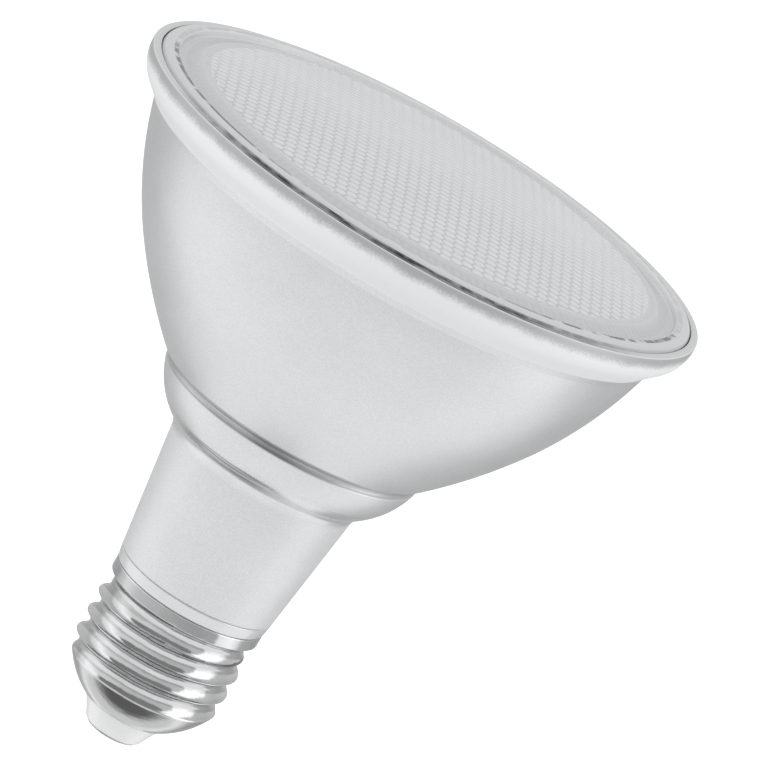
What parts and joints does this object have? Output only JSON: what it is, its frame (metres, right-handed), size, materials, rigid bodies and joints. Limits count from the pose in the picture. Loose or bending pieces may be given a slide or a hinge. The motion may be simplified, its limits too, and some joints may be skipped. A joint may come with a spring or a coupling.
{
  "type": "reflector spotlight bulb",
  "caption": "Spotlight bulb with a frosted glass reflector body, a patterned front lens and a screw cap, lit by a hidden board and driver.",
  "frame": {"origin": "middle of the centre contact's end face, on the lamp's axis", "axes": "+Z along the lamp's axis from the cap to the front lens, -Y towards the picture's viewer"},
  "size_m": [0.097, 0.097, 0.1056],
  "materials": {
    "body_glass": "frosted",
    "lens_glass": "pressed, frosted inside",
    "seal_silicone": "satin",
    "housing_plastic": "gloss",
    "shell_nickel": "bright nickel plate",
    "insulator_white": "satin",
    "contact_metal": "tinned",
    "neck_cement": "matte",
    "sink_aluminium": "turned",
    "pad_silicone": "matte",
    "board_white": "white solder mask",
    "screw_steel": "plain",
    "led_yellow": "gel over phosphor",
    "connector_white": "moulded",
    "lead_white": "sleeved wire",
    "board_green": "solder mask",
    "core_ferrite": "matte",
    "winding_copper": "enamelled wire",
    "can_sleeve": "sleeved can",
    "film_red": "dipped",
    "chip_black": "moulded",
    "resistor_green": "lacquered",
    "wire_red": "sleeved wire",
    "wire_black": "sleeved wire"
  },
  "bodies": {
    "root": {"reflector_body": "body_glass", "front_lens": "lens_glass", "lens_seal": "seal_silicone", "driver_housing": "housing_plastic", "screw_shell": "shell_nickel", "cap_insulator": "insulator_white", "centre_contact": "contact_metal", "neck_adhesive": "neck_cement", "heat_sink": "sink_aluminium", "thermal_pad": "pad_silicone", "light_board": "board_white", "board_screws": "screw_steel", "leds": "led_yellow", "led_connector": "connector_white", "led_leads": "lead_white", "driver_board": "board_green", "transformer_core": "core_ferrite", "transformer_winding": "winding_copper", "bulk_capacitor": "can_sleeve", "output_capacitor": "can_sleeve", "film_capacitor": "film_red", "bridge_rectifier": "chip_black", "driver_chip": "chip_black", "fuse_resistor": "resistor_green", "live_wire": "wire_red", "neutral_wire": "wire_black"}
  },
  "joints": []
}
